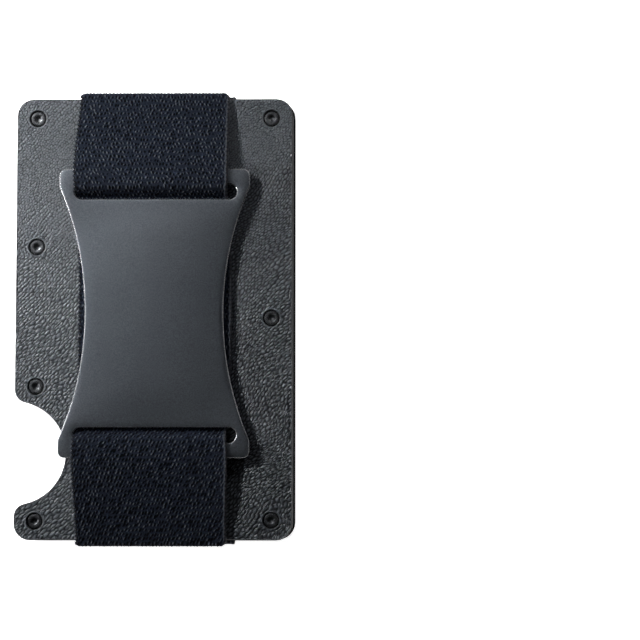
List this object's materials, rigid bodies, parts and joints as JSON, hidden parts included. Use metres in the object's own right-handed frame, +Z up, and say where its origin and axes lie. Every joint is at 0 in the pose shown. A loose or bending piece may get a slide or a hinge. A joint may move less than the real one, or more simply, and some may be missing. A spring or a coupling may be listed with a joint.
{
  "type": "minimalist wallet",
  "caption": "Card-sized wallet of leather-faced plates joined by an elastic band, with a thumb notch and a slotted hourglass metal clip held on an elastic strap.",
  "frame": {"origin": "middle of the back leather face that the wallet lies on", "axes": "+Z up out of the front face, +Y along the length away from the thumb notch's end, +X away from the notched edge"},
  "size_m": [0.0544, 0.0878, 0.0095],
  "materials": {
    "leather": "pebbled, semi-matt",
    "anodised_plate": "black anodised, satin",
    "elastic_webbing": "woven elastic, matt",
    "clip_steel": "bead-blasted graphite, satin",
    "screw_steel": "blackened steel, satin"
  },
  "bodies": {
    "back_half": {"back_leather": "leather", "back_outer_plate": "anodised_plate", "back_inner_plate": "anodised_plate", "main_elastic": "elastic_webbing", "back_screw_1": "screw_steel", "back_screw_2": "screw_steel", "back_screw_3": "screw_steel", "back_screw_4": "screw_steel", "back_screw_5": "screw_steel", "back_screw_6": "screw_steel", "back_screw_7": "screw_steel"},
    "front_half": {"front_inner_plate": "anodised_plate", "front_outer_plate": "anodised_plate", "front_leather": "leather", "cash_strap": "elastic_webbing", "front_screw_1": "screw_steel", "front_screw_2": "screw_steel", "front_screw_3": "screw_steel", "front_screw_4": "screw_steel", "front_screw_5": "screw_steel", "front_screw_6": "screw_steel", "front_screw_7": "screw_steel"},
    "clip": {"clip_plate": "clip_steel"}
  },
  "joints": [
    {"name": "plate_spread", "type": "slide", "parent": "back_half", "child": "front_half", "axis": [0, 0, 1], "range_m": [0, 0.009], "stiffness_N_per_m": 600, "springref_m": -0.004, "deforming": ["main_elastic"]},
    {"name": "clip_lift", "type": "slide", "parent": "front_half", "child": "clip", "axis": [0, 0, 1], "range_m": [0, 0.004], "stiffness_N_per_m": 250, "springref_m": -0.002, "deforming": ["cash_strap"]}
  ]
}
